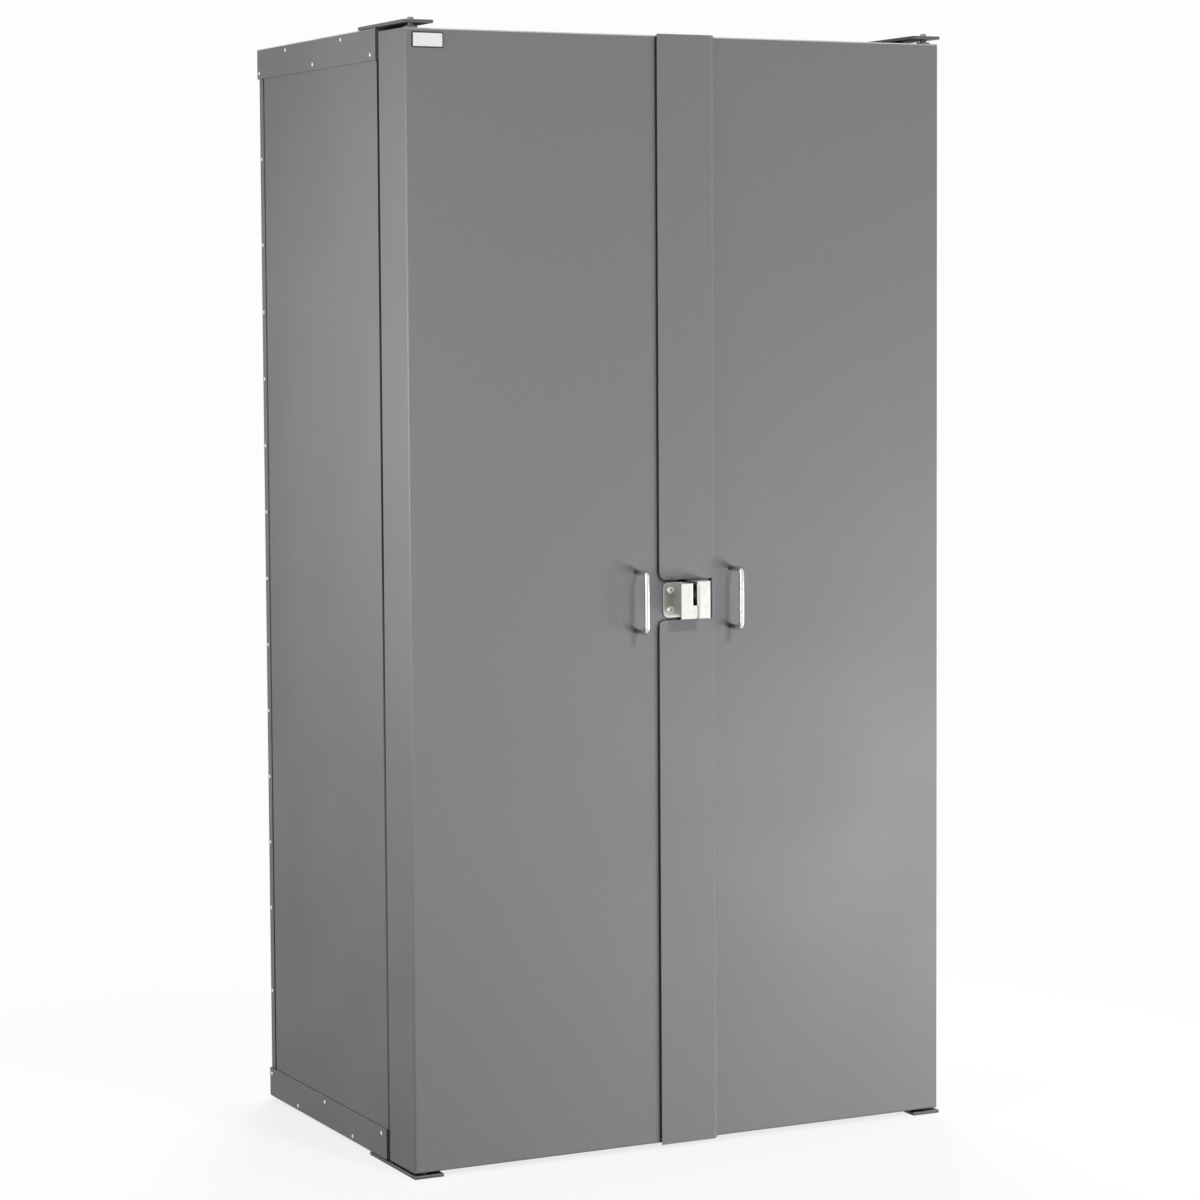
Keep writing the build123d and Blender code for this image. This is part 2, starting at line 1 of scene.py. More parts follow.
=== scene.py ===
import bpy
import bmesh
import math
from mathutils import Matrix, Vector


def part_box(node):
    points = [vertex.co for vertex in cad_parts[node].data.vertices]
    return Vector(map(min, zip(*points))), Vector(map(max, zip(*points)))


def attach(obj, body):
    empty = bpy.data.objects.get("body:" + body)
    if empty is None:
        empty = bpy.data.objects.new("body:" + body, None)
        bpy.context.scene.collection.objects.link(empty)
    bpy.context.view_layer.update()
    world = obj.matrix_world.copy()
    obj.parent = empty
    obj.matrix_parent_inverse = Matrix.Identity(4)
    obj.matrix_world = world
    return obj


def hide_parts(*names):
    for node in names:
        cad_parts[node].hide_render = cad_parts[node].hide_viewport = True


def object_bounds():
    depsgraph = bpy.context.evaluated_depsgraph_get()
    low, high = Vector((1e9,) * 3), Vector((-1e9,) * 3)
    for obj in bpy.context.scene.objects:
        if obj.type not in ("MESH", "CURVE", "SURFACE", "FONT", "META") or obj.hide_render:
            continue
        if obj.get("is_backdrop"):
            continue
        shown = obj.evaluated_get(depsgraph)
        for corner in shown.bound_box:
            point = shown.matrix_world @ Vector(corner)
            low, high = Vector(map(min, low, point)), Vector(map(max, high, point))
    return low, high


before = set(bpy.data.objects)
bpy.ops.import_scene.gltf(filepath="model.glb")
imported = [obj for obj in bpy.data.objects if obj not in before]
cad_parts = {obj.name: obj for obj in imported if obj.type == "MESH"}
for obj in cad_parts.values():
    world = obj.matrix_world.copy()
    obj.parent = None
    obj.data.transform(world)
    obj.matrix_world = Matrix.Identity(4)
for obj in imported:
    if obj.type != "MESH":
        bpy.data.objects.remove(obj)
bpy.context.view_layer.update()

# %% [markdown]
# # A steel tool cabinet, dressed for the camera
# The cabinet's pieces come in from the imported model: real sheets with real thickness, each
# already in its place. They carry no finish yet. This lesson gives every piece the surface
# that a metalworker would give it, and adds the small round things, such as rivets, pulls
# and bolts, that need a smoother mesh than a model made for machining and motion.
# Everything is in metres. X runs to the right, Y from the doors to the back, and Z up.

MM = 0.001
scene = bpy.context.scene

# %% [markdown]
# ## Colours
# Paint cards and colour pickers speak sRGB, while a shader works in linear light. One
# function turns a hex colour into the linear one, so every colour below can be read as it
# would be picked from a swatch.

# %% Turn a hex colour into linear light


def linear(hex_colour):
    """A linear RGBA colour from an sRGB hex string such as #808284."""
    channels = [int(hex_colour[i:i + 2], 16) / 255 for i in (1, 3, 5)]
    curve = [c / 12.92 if c <= 0.04045 else ((c + 0.055) / 1.055) ** 2.4 for c in channels]
    return (*curve, 1.0)


print("mid grey in linear light:", [round(c, 3) for c in linear("#808284")])

# %% [markdown]
# ## One helper for shader nodes
# A material is a small network. Each node needs three things: its settings, the plain
# values on its sockets, and the links that feed it. One function that takes all three keeps
# each material below as a short list that reads from the pattern to the surface.

# %% Add a shader node in one call


def add(tree, kind, values=(), links=(), **settings):
    """Adds a node, sets its properties, then its socket values and its incoming links."""
    node = tree.nodes.new(kind)
    for name, value in settings.items():
        setattr(node, name, value)
    for socket, value in dict(values).items():
        node.inputs[socket].default_value = value
    for socket, source in dict(links).items():
        tree.links.new(source, node.inputs[socket])
    return node


def new_material(name):
    """An empty material and its node tree."""
    material = bpy.data.materials.new(name)
    material.use_nodes = True
    material.node_tree.nodes.clear()
    return material, material.node_tree


def finish_surface(tree, shader):
    """Sends a shader to the material's output."""
    add(tree, "ShaderNodeOutputMaterial", links={"Surface": shader.outputs[0]})


def waves_per_metre(size_mm):
    """The scale of a noise or cell texture whose features are about this many millimetres."""
    return 1000 / size_mm


print("features of 2.5 mm need a texture scale of", waves_per_metre(2.5))

# %% [markdown]
# ## The camera
# A catalogue picture of a cabinet is taken from well back with a long lens, so that the
# uprights stay nearly parallel. The camera stands at about eye height, left of the doors.
# A turn built from heading, pitch and roll is easier to read than a matrix, so the camera's
# axes are worked out from those three angles.

# %% Stand the camera
camera_place = Vector((-2.62178, -5.26230, 1.39262))
camera_heading = math.radians(26.443)   # turned from +Y towards +X
camera_pitch = math.radians(-3.985)
camera_roll = math.radians(-0.349)
camera_lens = 103.53                    # on a 36 mm frame
camera_rise = -0.05                     # vertical shift, as a share of the frame

forward = Vector((
    math.sin(camera_heading) * math.cos(camera_pitch),
    math.cos(camera_heading) * math.cos(camera_pitch),
    math.sin(camera_pitch),
))
level_right = Vector((math.cos(camera_heading), -math.sin(camera_heading), 0))
level_up = level_right.cross(forward)
right = level_right * math.cos(camera_roll) + level_up * math.sin(camera_roll)
up = level_up * math.cos(camera_roll) - level_right * math.sin(camera_roll)

camera_data = bpy.data.cameras.new("camera")
camera_data.lens = camera_lens
camera_data.shift_y = camera_rise
camera_data.clip_end = 100
camera = bpy.data.objects.new("camera", camera_data)
scene.collection.objects.link(camera)
turn = Matrix((right, up, -forward)).transposed().to_4x4()
camera.matrix_world = Matrix.Translation(camera_place) @ turn
scene.camera = camera

# %% [markdown]
# ## The studio
# Painted steel has only a soft shine, so its shape is drawn by broad lamps rather than by
# sharp highlights, and the lamps stay plain enough for a colour to look about as written.
# - The key lamp stands far in front and high, a little to the right, and lights the doors.
# - The left and the jamb lamp are tall and stand close to the left side. They carry light
#   along the side panel and the deep edge of the left door.
# - The right, low and front lamps stand near the floor. They lift the foot of the doors,
#   which the key lamp lights least.
# - The back, side and top lamps fill the faces that the others don't reach.
#
# Five of the lamps are left out of reflections: their light is wanted, but their picture in
# bare zinc or along a flat coat would be a white patch. A white background costs no light:
# the world and the floor show white to the camera and to reflections only.

# %% Light the studio
world_level = 0.175
backdrop_white = "#FCFDFE"
# name: (place, target, width, height, watts, shows in reflections), in metres
lamps = {
    "key_lamp": ((0.75, -4.9, 3.85), (0, -0.3, 0.93), 0.6, 0.45, 108, False),
    "left_lamp": ((-1.4, -0.42, 1.35), (-0.5, -0.1, 1.25), 0.5, 0.9, 7.2, True),
    "jamb_lamp": ((-1.35, -0.63, 1.1), (-0.5, -0.3, 1.05), 0.32, 1.0, 3.3, True),
    "right_lamp": ((1.9, -1.9, 0.45), (0.3, -0.3, 0.4), 0.7, 0.7, 10.5, True),
    "low_lamp": ((1.4, -1.7, 0.12), (0.3, -0.3, 0.3), 0.9, 0.2, 7.0, True),
    "front_lamp": ((1.0, -3.0, 0.2), (0.2, -0.3, 0.3), 1.2, 0.3, 33, False),
    "back_lamp": ((2.2, 4.4, 2.6), (0, 0.3, 0.9), 1.6, 1.6, 120, False),
    "side_lamp": ((3.4, 0.9, 1.6), (0.5, 0, 0.9), 1.2, 1.2, 35, False),
    "top_lamp": ((0.3, 1.2, 4.3), (0, 0.1, 1.8), 1.2, 1.2, 45, False),
}


def hang_lamp(name, place, target, width, height, watts, reflected):
    """A rectangular lamp at one place, aimed at another, in or out of reflections."""
    data = bpy.data.lights.new(name, "AREA")
    data.shape = "RECTANGLE"
    data.size = width
    data.size_y = height
    data.energy = watts
    item = bpy.data.objects.new(name, data)
    item.location = place
    item.rotation_euler = (Vector(target) - Vector(place)).to_track_quat("-Z", "Y").to_euler()
    item.visible_camera = False
    item.visible_glossy = reflected
    scene.collection.objects.link(item)


for name, settings in lamps.items():
    hang_lamp(name, *settings)

world = bpy.data.worlds.new("studio")
world.use_nodes = True
world.node_tree.nodes.clear()
scene.world = world
scene.view_settings.view_transform = "Standard"


def seen_directly(tree):
    """One where a ray comes from the camera, a mirror-like surface or clear glass."""
    path = add(tree, "ShaderNodeLightPath")
    seen = add(tree, "ShaderNodeMath", operation="MAXIMUM", links={
        0: path.outputs["Is Camera Ray"], 1: path.outputs["Is Glossy Ray"]})
    return add(tree, "ShaderNodeMath", operation="MAXIMUM", links={
        0: seen.outputs[0], 1: path.outputs["Is Transmission Ray"]})


tree = world.node_tree
ambient = add(tree, "ShaderNodeBackground",
              {"Color": linear("#FBFCFF"), "Strength": world_level})
backdrop = add(tree, "ShaderNodeBackground", {"Color": linear(backdrop_white), "Strength": 1.0})
mix = add(tree, "ShaderNodeMixShader", links={
    0: seen_directly(tree).outputs[0], 1: ambient.outputs[0], 2: backdrop.outputs[0]})
add(tree, "ShaderNodeOutputWorld", links={"Surface": mix.outputs[0]})
print("hung", len(lamps), "lamps, the brightest of", max(row[4] for row in lamps.values()), "W")

# %% [markdown]
# ## The floor
# The floor is a plain pale sweep. Near the cabinet it keeps a soft contact shadow; farther
# out it fades to the same white as the backdrop, by distance from the cabinet's own foot,
# so that no horizon line shows. To the cabinet it is a darker, slightly warm floor, so that
# the light it throws back up is soft and the foot of each sheet grows darker.

# %% Lay the floor
floor_reach = 40.0        # metres from the middle to the floor's side
shadow_reach = 1.6        # metres from the middle to where the floor has turned to backdrop
floor_glow = 0.80         # its own light, so that the lamps only need to draw the shadow


def make_floor():
    """A wide sheet under the cabinet, its material white but still able to hold a shadow."""
    mesh = bpy.data.meshes.new("floor")
    r = floor_reach
    mesh.from_pydata([(-r, -r, 0), (r, -r, 0), (r, r, 0), (-r, r, 0)], [], [(0, 1, 2, 3)])
    floor = bpy.data.objects.new("floor", mesh)
    scene.collection.objects.link(floor)
    material, tree = new_material("pale_studio_floor")
    place = add(tree, "ShaderNodeTexCoord")
    distance = add(tree, "ShaderNodeVectorMath", operation="LENGTH",
                   links={0: place.outputs["Object"]})
    fade = add(tree, "ShaderNodeMapRange",
               {"From Min": 0.6 * shadow_reach, "From Max": shadow_reach},
               {"Value": distance.outputs["Value"]}, interpolation_type="SMOOTHSTEP")
    paint = add(tree, "ShaderNodeBsdfDiffuse", {"Color": linear("#828486")})
    bounce = add(tree, "ShaderNodeBsdfDiffuse", {"Color": linear("#5A5651")})
    glow = add(tree, "ShaderNodeEmission",
               {"Color": linear(backdrop_white), "Strength": floor_glow})
    held = add(tree, "ShaderNodeAddShader", links={0: paint.outputs[0], 1: glow.outputs[0]})
    white = add(tree, "ShaderNodeEmission", {"Color": linear(backdrop_white), "Strength": 1.0})
    shown = add(tree, "ShaderNodeMixShader", links={
        0: fade.outputs[0], 1: held.outputs[0], 2: white.outputs[0]})
    surface = add(tree, "ShaderNodeMixShader", links={
        0: seen_directly(tree).outputs[0], 1: bounce.outputs[0], 2: shown.outputs[0]})
    finish_surface(tree, surface)
    mesh.materials.append(material)
    return floor


make_floor()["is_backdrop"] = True
print("floor laid, with room for a shadow of", shadow_reach, "m")

# %% [markdown]
# ## Edges and crevices
# Two things make sheet metal read as real. Folded and cut edges are a little paler: a coat
# draws thin there and gets rubbed, and a painted highlight is added on top, strongest on the
# edges that face up, where light from above falls. Narrow gaps are darker: that is painted
# shade, laid into the colour where a point has little open space around it.
#
# Three masks find these places. A bevel lookup finds sharp edges, where the rounded normal
# turns away from the flat one. A fold has a true bend radius in the mesh, so the bevel finds
# nothing there, but its normal lies between the axes, which a flat sheet's never does. The
# share of open space around a point finds a crevice.

# %% Find edges and crevices
edge_round_mm = 1.2       # how far an edge looks worn round
crevice_reach_mm = 14.0   # how far a point looks for open space
# Edges that face up keep the whole painted highlight, the others only a share of it.
edge_up_share = 0.15      # of its strength, on a sharp edge that doesn't face up
fold_up_share = 0.05      # the same for a fold


def highest(tree, first, second):
    """The larger of two values."""
    return add(tree, "ShaderNodeMath", operation="MAXIMUM", links={0: first, 1: second}).outputs[0]


def facing_up(tree, mask, normal, elsewhere):
    """A mask kept whole where the surface faces up, and cut to a share of itself elsewhere."""
    part = add(tree, "ShaderNodeSeparateXYZ", links={0: normal})
    share = add(tree, "ShaderNodeMapRange",
                {"From Min": 0.1, "From Max": 0.6, "To Min": elsewhere},
                {"Value": part.outputs["Z"]})
    return add(tree, "ShaderNodeMath", operation="MULTIPLY",
               links={0: mask, 1: share.outputs[0]}).outputs[0]


def find_edges(tree):
    """A rounded normal, and a mask that is one along sharp edges that face up."""
    rounded = add(tree, "ShaderNodeBevel", {"Radius": edge_round_mm * MM}, samples=4).outputs[0]
    flat = add(tree, "ShaderNodeNewGeometry").outputs["Normal"]
    alike = add(tree, "ShaderNodeVectorMath", operation="DOT_PRODUCT", links={0: rounded, 1: flat})
    sharp = add(tree, "ShaderNodeMapRange", {"From Min": 0.97, "From Max": 0.8},
                {"Value": alike.outputs["Value"]})
    return rounded, facing_up(tree, sharp.outputs[0], rounded, edge_up_share)


def find_folds(tree):
    """A mask that is one on a round fold that faces up: its normal lies between the axes."""
    flat = add(tree, "ShaderNodeNewGeometry").outputs["Normal"]
    size = add(tree, "ShaderNodeVectorMath", operation="ABSOLUTE", links={0: flat})
    part = add(tree, "ShaderNodeSeparateXYZ", links={0: size.outputs[0]})
    largest = highest(tree, highest(tree, part.outputs["X"], part.outputs["Y"]), part.outputs["Z"])
    fold = add(tree, "ShaderNodeMapRange", {"From Min": 0.98, "From Max": 0.85}, {"Value": largest})
    return facing_up(tree, fold.outputs[0], flat, fold_up_share)


def find_openness(tree, darkest, reach_mm=crevice_reach_mm):
    """One in the open, falling to the darkest level inside narrow gaps: a mask for painted shade.
    """
    space = add(tree, "ShaderNodeAmbientOcclusion", {"Distance": reach_mm * MM}, samples=6)
    return add(tree, "ShaderNodeMapRange", {"From Min": 0.15, "From Max": 0.6, "To Min": darkest},
               {"Value": space.outputs["AO"]}).outputs[0]


def paint_shade(tree, colour, openness):
    """A colour with painted shade: less bright where there is little open space."""
    mix = add(tree, "ShaderNodeMix", {"A": (0, 0, 0, 1)}, {"Factor": openness, "B": colour},
              data_type="RGBA")
    return mix.outputs[2]


print("edges are rounded over", edge_round_mm, "mm")

# %% [markdown]
# ## Powder coat on sheet steel
# The carcass, doors, shelves and liners are cold-rolled sheet, sprayed with polyester powder
# and baked. The powder melts into a film with a soft shine (IOR about 1.5, roughness about
# 0.45) and a faint orange peel, with a hint of speckle where two greys of powder mix. Broad
# sheets also show a slow drift in tone where the film is thicker. The peel's real pitch is
# about 2 mm; the speckle is really 0.2 mm grains and is drawn coarser so that it shows.
#
# Two variants follow. The side panels' front rim lies just behind the doors' edges, where no
# light reaches, and that shade is painted into the coat: nearly black for a few millimetres,
# fading towards the floor. The hinge plates are cut from thick plate and get a darker copy of
# the same powder, which is painted shade, since they sit in shadow above and below the doors.

# %% Make the powder coat
coat_peel_mm = 2.2        # waves of the orange peel
coat_speckle_mm = 1.6     # grains of the second grey
coat_drift_mm = 260.0     # slow change of the film
# The rim's darkness is painted shade, for the strip behind the doors' edges.
jamb_shade_mm = 3.5         # dark front rim of a side panel
jamb_shade_edge_mm = 1.5         # over which the rim ends
jamb_shade_fade = (1.1, 0.3)     # metres above the floor where its fading starts and ends
# Painted shade in narrow gaps takes the coat's colour down to this share.
crevice_shade_level = 0.1       # of the coat's brightness, deep in a gap


def powder_coat(name, shade, dark_speck, light_speck, wear_and_highlight, roughness=0.44, jamb_shade_before=None):
    """Baked polyester powder: orange peel, speckle, drift, edges pale from wear and a painted
    highlight, painted shade in gaps, and painted shade on a front rim if asked.
    """
    material, tree = new_material(name)
    place = add(tree, "ShaderNodeTexCoord").outputs["Object"]
    speckle = add(tree, "ShaderNodeTexNoise",
                  {"Scale": waves_per_metre(coat_speckle_mm), "Detail": 3.0, "Roughness": 0.7},
                  {"Vector": place})
    drift = add(tree, "ShaderNodeTexNoise",
                {"Scale": waves_per_metre(coat_drift_mm), "Detail": 2.0}, {"Vector": place})
    peel = add(tree, "ShaderNodeTexNoise",
               {"Scale": waves_per_metre(coat_peel_mm), "Detail": 2.0}, {"Vector": place})
    grains = add(tree, "ShaderNodeValToRGB", links={"Fac": speckle.outputs["Fac"]})
    grains.color_ramp.elements[0].position = 0.3
    grains.color_ramp.elements[0].color = linear(dark_speck)
    grains.color_ramp.elements[1].position = 0.7
    grains.color_ramp.elements[1].color = linear(light_speck)
    slow = add(tree, "ShaderNodeMapRange", {"From Min": 0.3, "From Max": 0.7, "To Max": 0.35},
               {"Value": drift.outputs["Fac"]})
    body = add(tree, "ShaderNodeMix", {"B": linear(shade)}, {
        "Factor": slow.outputs[0], "A": grains.outputs["Color"]}, data_type="RGBA")
    rounded, edge = find_edges(tree)
    pale_wear_and_highlight = highest(tree, edge, find_folds(tree))
    openness = find_openness(tree, crevice_shade_level)
    # Painted shade: the front rim of a side panel goes nearly black, lighter towards the floor.
    if jamb_shade_before is not None:
        apart = add(tree, "ShaderNodeSeparateXYZ", links={0: place})
        rim = add(tree, "ShaderNodeMapRange", {
            "From Min": jamb_shade_before, "From Max": jamb_shade_before + jamb_shade_edge_mm * MM,
            "To Min": crevice_shade_level},
            {"Value": apart.outputs["Y"]}).outputs[0]
        faded = add(tree, "ShaderNodeMapRange", {
            "From Min": jamb_shade_fade[0], "From Max": jamb_shade_fade[1], "To Min": 0.0, "To Max": 0.8},
            {"Value": apart.outputs["Z"]}).outputs[0]
        rim = highest(tree, rim, faded)
        openness = add(tree, "ShaderNodeMath", links={0: openness, 1: rim},
                       operation="MINIMUM").outputs[0]
    # Paler edges: wear, with a painted highlight that is strongest on edges facing up.
    colour = add(tree, "ShaderNodeMix", {"B": linear(wear_and_highlight)}, {
        "Factor": pale_wear_and_highlight, "A": body.outputs[2]}, data_type="RGBA")
    shine = add(tree, "ShaderNodeMapRange", {
        "From Min": 0.3, "From Max": 0.7, "To Min": roughness - 0.04, "To Max": roughness + 0.05},
        {"Value": drift.outputs["Fac"]})
    # Painted shade also takes the shine out of narrow gaps and off the dark rim.
    shaded_glint = add(tree, "ShaderNodeMath", {1: 0.5}, {0: openness}, operation="MULTIPLY")
    bump = add(tree, "ShaderNodeBump", {"Strength": 0.22, "Distance": 0.05 * MM},
               {"Height": peel.outputs["Fac"], "Normal": rounded})
    shader = add(tree, "ShaderNodeBsdfPrincipled", {"IOR": 1.5}, {
        "Base Color": paint_shade(tree, colour.outputs[2], openness), "Roughness": shine.outputs[0],
        "Specular IOR Level": shaded_glint.outputs[0], "Normal": bump.outputs[0]})
    finish_surface(tree, shader)
    return material


# Body, dark speck, light speck, and the pale edge of wear and painted highlight: a mid grey
# of even tone, then a darker copy whose darkness is painted shade.
grey_shades = ("#787A7C", "#727476", "#808284", "#E4E5E7")
plate_shaded_greys = ("#5E6063", "#56585B", "#66686B", "#E4E5E7")
coat_grey = powder_coat("grey_polyester_powder_coat", *grey_shades)
jamb_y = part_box("side_panel_left")[0].y
# The side panels' coat carries painted shade along its front rim.
coat_panel_jamb_shade = powder_coat("grey_powder_coat_painted_jamb_shade", *grey_shades,
                         jamb_shade_before=jamb_y + jamb_shade_mm * MM)
# The hinge plates' darker coat is painted shade.
coat_plate_shaded = powder_coat("grey_powder_coat_painted_plate_shade", *plate_shaded_greys)
print("made", coat_grey.name, coat_panel_jamb_shade.name, coat_plate_shaded.name)

# %% [markdown]
# ## Bare and plated metals
# Four metals show on the cabinet. Rivets are drawn aluminium, bright with tiny scuffs. The
# pulls are chrome-plated bar, almost a mirror, with the fine round scratches of polishing.
# The hasp and its bolts are zinc-plated steel, pale and slightly cloudy, because plating
# grows in soft patches a few millimetres wide. Hinge pins and bushes are turned steel with
# a film of oil. Each metal keeps the shader's own IOR; its colour is its reflection. The
# grain breaks up the edge of a highlight. Edges are paler, partly rubbed bright and partly a
# painted highlight, strongest where they face up, and narrow gaps get painted shade. Chrome
# gets a shallower grain than the rest and less painted shade in its corners, or it would
# look cast.

# %% Make the metals


def metal(name, dull, bright, roughness, patch_mm, grain_mm, grain_stretch=(1, 1, 1),
          depth_mm=0.01, darkest=0.05, reach_mm=crevice_reach_mm):
    """A bare or plated metal: cloudy patches, a fine grain, edges rubbed bright with a painted
    highlight, and painted shade in gaps.
    """
    material, tree = new_material(name)
    place = add(tree, "ShaderNodeTexCoord").outputs["Object"]
    patches = add(tree, "ShaderNodeTexNoise",
                  {"Scale": waves_per_metre(patch_mm), "Detail": 4.0, "Roughness": 0.6},
                  {"Vector": place})
    stretch = add(tree, "ShaderNodeMapping", {"Scale": grain_stretch}, {"Vector": place})
    grain = add(tree, "ShaderNodeTexNoise",
                {"Scale": waves_per_metre(grain_mm), "Detail": 3.0},
                {"Vector": stretch.outputs[0]})
    tone = add(tree, "ShaderNodeValToRGB", links={"Fac": patches.outputs["Fac"]})
    tone.color_ramp.elements[0].position = 0.35
    tone.color_ramp.elements[0].color = linear(dull)
    tone.color_ramp.elements[1].position = 0.65
    tone.color_ramp.elements[1].color = linear(bright)
    shine = add(tree, "ShaderNodeMapRange", {
        "From Min": 0.3, "From Max": 0.7, "To Min": 0.8 * roughness, "To Max": 1.25 * roughness},
        {"Value": grain.outputs["Fac"]})
    rounded, edge = find_edges(tree)
    # Painted highlight on edges, most on those facing up, over metal rubbed bright.
    rubbed_and_highlit = add(tree, "ShaderNodeMix", {"B": linear("#FAFAF8")}, {
        "Factor": edge, "A": tone.outputs["Color"]}, data_type="RGBA")
    bump = add(tree, "ShaderNodeBump", {"Strength": 0.3, "Distance": depth_mm * MM},
               {"Height": grain.outputs["Fac"], "Normal": rounded})
    # Painted shade darkens the colour in narrow gaps.
    shader = add(tree, "ShaderNodeBsdfPrincipled", {"Metallic": 1.0}, {
        "Base Color": paint_shade(tree, rubbed_and_highlit.outputs[2], find_openness(tree, darkest, reach_mm)),
        "Roughness": shine.outputs[0], "Normal": bump.outputs[0]})
    finish_surface(tree, shader)
    return material


# Each: a dull and a bright shade, roughness, size of the patches and of the grain in mm.
drawn_aluminium = metal("drawn_aluminium", "#D8D9DA", "#F2F2F1", 0.32, 3.0, 0.4)
chrome_plate = metal("polished_chrome_plate", "#D4D6D8", "#E8E9EA", 0.09, 12.0, 0.6, (1, 1, 8),
                     depth_mm=0.002, darkest=0.5, reach_mm=3.0)
zinc_plate = metal("bright_zinc_plate", "#CDCCC7", "#D8D7D1", 0.4, 9.0, 0.7)
turned_steel = metal("oiled_turned_steel", "#8C8A86", "#B4B2AE", 0.3, 6.0, 0.3, (1, 1, 12))
print("made", ", ".join(m.name for m in (drawn_aluminium, chrome_plate, zinc_plate, turned_steel)))

# %% [markdown]
# ## Dress the pieces that keep their shape
# Sheets, plates, brackets, pins and shelves already have their true shape. They only need
# their finish, which goes into the slot that each mesh already has. A table of name
# beginnings and finishes covers every piece, and the loop checks that none is missed.

# %% Give each carried-over piece its finish
finishes = {
    "coat": coat_grey,
    "panel": coat_panel_jamb_shade,
    "plate": coat_plate_shaded,
    "zinc": zinc_plate,
    "steel": turned_steel,
    "chrome": chrome_plate,
    "aluminium": drawn_aluminium,
}
finish_of = {
    "top_cap": "coat", "bottom_cap": "coat", "back_panel": "coat", "side_panel": "panel",
    "rear_feet": "coat", "hinge_plate": "plate", "shelf_standard": "coat", "shelf_": "coat",
    "shelf_clips": "zinc", "door_": "coat", "louvred_liner": "coat", "astragal": "coat",
    "door_pull": "chrome", "pull_screws": "zinc", "hasp_": "zinc", "hinge_pin": "steel",
    "hinge_bush": "steel", "rivets": "aluminium", "liner_rivets": "aluminium",
}


def finish_for(node):
    """The finish of a node, by the longest name beginning that fits it."""
    fits = [key for key in finish_of if node.startswith(key)]
    return finishes[finish_of[max(fits, key=len)]]


for name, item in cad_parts.items():
    item.data.materials.clear()
    item.data.materials.append(finish_for(name))
print("dressed", len(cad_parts), "pieces")

# %% [markdown]
# ## Turned shapes
# Rivets, bolt heads and screw heads are all shapes that a lathe could cut: one outline spun
# about an axis. A helper spins an outline of radius and height pairs into a closed skin of
# quads, and another sets copies of that skin on the cabinet, each turned to face outwards.
# Copies share one object per group, just as identical fasteners share one node.

# %% Spin an outline and set copies of it
round_steps = 24          # flats round a spun piece


def spin(outline, steps=round_steps):
    """Points and faces of an outline of (radius, height) pairs spun about its own Z axis."""
    points, rings = [], []
    for radius, height in outline:
        if radius == 0:
            rings.append([len(points)] * steps)
            points.append(Vector((0, 0, height)))
            continue
        rings.append(list(range(len(points), len(points) + steps)))
        for step in range(steps):
            angle = 2 * math.pi * step / steps
            points.append(Vector((radius * math.cos(angle), radius * math.sin(angle), height)))
    faces = []
    for low, high in zip(rings, rings[1:]):
        for step in range(steps):
            after = (step + 1) % steps
            corners = [low[step], low[after], high[after], high[step]]
            faces.append(list(dict.fromkeys(corners)))
    return points, faces


def facing(direction):
    """The turn that carries +Z to a direction."""
    return Vector((0, 0, 1)).rotation_difference(Vector(direction)).to_matrix().to_4x4()


def add_piece(name, points, faces, material, body, smooth=True):
    """A mesh piece from points in metres, with its finish, riding on a body."""
    mesh = bpy.data.meshes.new(name)
    mesh.from_pydata([tuple(p) for p in points], [], faces)
    mesh.validate()
    mesh.polygons.foreach_set("use_smooth", [smooth] * len(mesh.polygons))
    mesh.materials.append(material)
    mesh.update()
    piece = bpy.data.objects.new(name, mesh)
    scene.collection.objects.link(piece)
    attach(piece, body)
    return piece


def set_copies(name, shape, places, material, body):
    """Copies of a shape, in millimetres about its seat, at (place, direction) pairs."""
    points, faces = [], []
    for place, direction in places:
        turned = Matrix.Translation(place) @ facing(direction)
        first = len(points)
        points += [turned @ (p * MM) for p in shape[0]]
        faces += [[first + corner for corner in face] for face in shape[1]]
    return add_piece(name, points, faces, material, body)


def dome(radius, height, steps, lowest=0.0):
    """Outline points of a shallow dome from its rim to near its top."""
    rim = math.pi / 2
    return [(radius * math.cos(rim * n / steps), lowest + height * math.sin(rim * n / steps))
            for n in range(steps)]


print("a dome outline:", [tuple(round(v, 2) for v in p) for p in dome(3.3, 1.3, 4)])

# %% [markdown]
# ## Blind rivets
# The seams are closed with aluminium blind rivets. Each shows a low round head with the
# broken end of its steel stem in a small pit in the middle. The head's rim stands a sheet's
# thickness proud, then rises as a dome. The places come from the solids of each rivet node:
# a node's mesh falls into separate lumps, and each lump's middle is a rivet.

# %% Find the middle of each solid in a node


def lumps(node):
    """(lowest, highest) corner of each separate solid in a node, in metres."""
    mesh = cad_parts[node].data
    work = bmesh.new()
    work.from_mesh(mesh)
    bmesh.ops.remove_doubles(work, verts=work.verts, dist=1e-6)
    found, seen = [], set()
    for start in work.verts:
        if start in seen:
            continue
        group, queue = [], [start]
        seen.add(start)
        while queue:
            vert = queue.pop()
            group.append(vert.co.copy())
            for edge in vert.link_edges:
                other = edge.other_vert(vert)
                if other not in seen:
                    seen.add(other)
                    queue.append(other)
        low = Vector([min(p[axis] for p in group) for axis in range(3)])
        high = Vector([max(p[axis] for p in group) for axis in range(3)])
        found.append((low, high))
    work.free()
    return found


print("rivets up the left side:", len(lumps("rivets_side_left")))

# %% Make the rivets
rivet_radius = 3.3        # millimetres
rivet_rise = 1.3
rivet_rim = 0.25          # height of the head's upright rim
stem_radius = 1.0
stem_depth = 0.45


